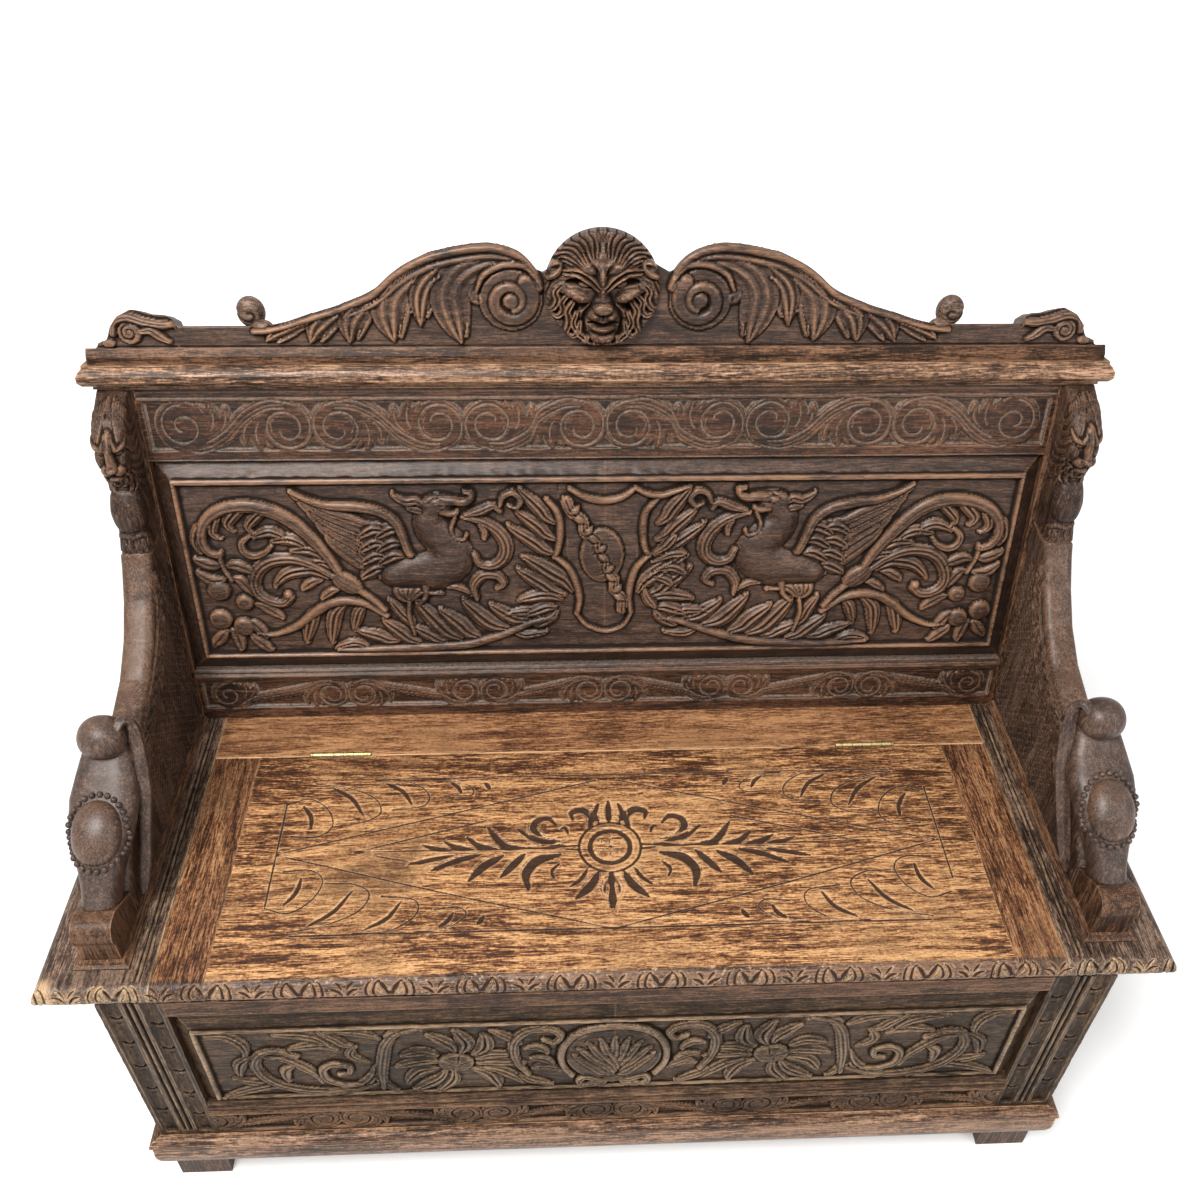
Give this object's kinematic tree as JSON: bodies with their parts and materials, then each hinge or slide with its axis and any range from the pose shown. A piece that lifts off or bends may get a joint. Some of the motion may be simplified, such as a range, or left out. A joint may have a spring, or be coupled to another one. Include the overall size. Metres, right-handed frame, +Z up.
{
  "type": "box settle",
  "caption": "Box settle with a carved, leaning panelled back, winged arms with knobs, and a hinged seat lid over a framed chest on block feet",
  "frame": {"origin": "on the floor under the middle of the settle, at the bottom centre of its bounding box", "axes": "+X along the length, to the right as seen from the front; +Y from the front to the back; +Z up"},
  "size_m": [1.25, 0.5521, 1.1041],
  "materials": {
    "oak_dark": "old waxed oak, dark brown, worn orange-brown on the high points with grey dust in the carving",
    "oak_seat": "old waxed oak, golden brown with dark stains and open grain, worn by use",
    "brass": "dull aged brass"
  },
  "bodies": {
    "root": {"arm_foot_left": "oak_dark", "arm_foot_right": "oak_dark", "arm_front_left": "oak_dark", "arm_front_right": "oak_dark", "back_bottom_rail": "oak_dark", "back_frieze_rail": "oak_dark", "back_panel": "oak_dark", "back_stile_left": "oak_dark", "back_stile_right": "oak_dark", "bottom_bearers": "oak_dark", "chest_back": "oak_dark", "chest_bottom": "oak_dark", "cornice": "oak_dark", "crest_board": "oak_dark", "crest_end_left": "oak_dark", "crest_end_right": "oak_dark", "crest_foot_moulding": "oak_dark", "crest_mask": "oak_dark", "foot_front_left": "oak_dark", "foot_front_right": "oak_dark", "foot_rear_left": "oak_dark", "foot_rear_right": "oak_dark", "front_bottom_rail": "oak_dark", "front_panel": "oak_dark", "front_stile_left": "oak_dark", "front_stile_right": "oak_dark", "front_top_rail": "oak_dark", "hinge_leaf_board_left": "brass", "hinge_leaf_board_right": "brass", "hinge_pin_left": "brass", "hinge_pin_right": "brass", "hinge_rail": "oak_dark", "lion_head_left": "oak_dark", "lion_head_right": "oak_dark", "plinth_front": "oak_dark", "plinth_left": "oak_dark", "plinth_right": "oak_dark", "rear_board": "oak_seat", "rear_stile_left": "oak_dark", "rear_stile_right": "oak_dark", "seat_side_left": "oak_dark", "seat_side_right": "oak_dark", "side_bottom_rail_left": "oak_dark", "side_bottom_rail_right": "oak_dark", "side_panel_left": "oak_dark", "side_panel_right": "oak_dark", "side_top_rail_left": "oak_dark", "side_top_rail_right": "oak_dark", "wing_left": "oak_dark", "wing_moulding_left": "oak_dark", "wing_moulding_right": "oak_dark", "wing_right": "oak_dark"},
    "lid": {"lid_board": "oak_seat", "lid_cleat_left": "oak_seat", "lid_cleat_right": "oak_seat", "hinge_leaf_lid_left": "brass", "hinge_leaf_lid_right": "brass"}
  },
  "joints": [
    {"name": "lid_hinge", "type": "hinge", "parent": "root", "child": "lid", "pos_m": [0, 0.07453, 0.477], "axis": [-1, 0, 0], "range_deg": [0, 107]}
  ]
}
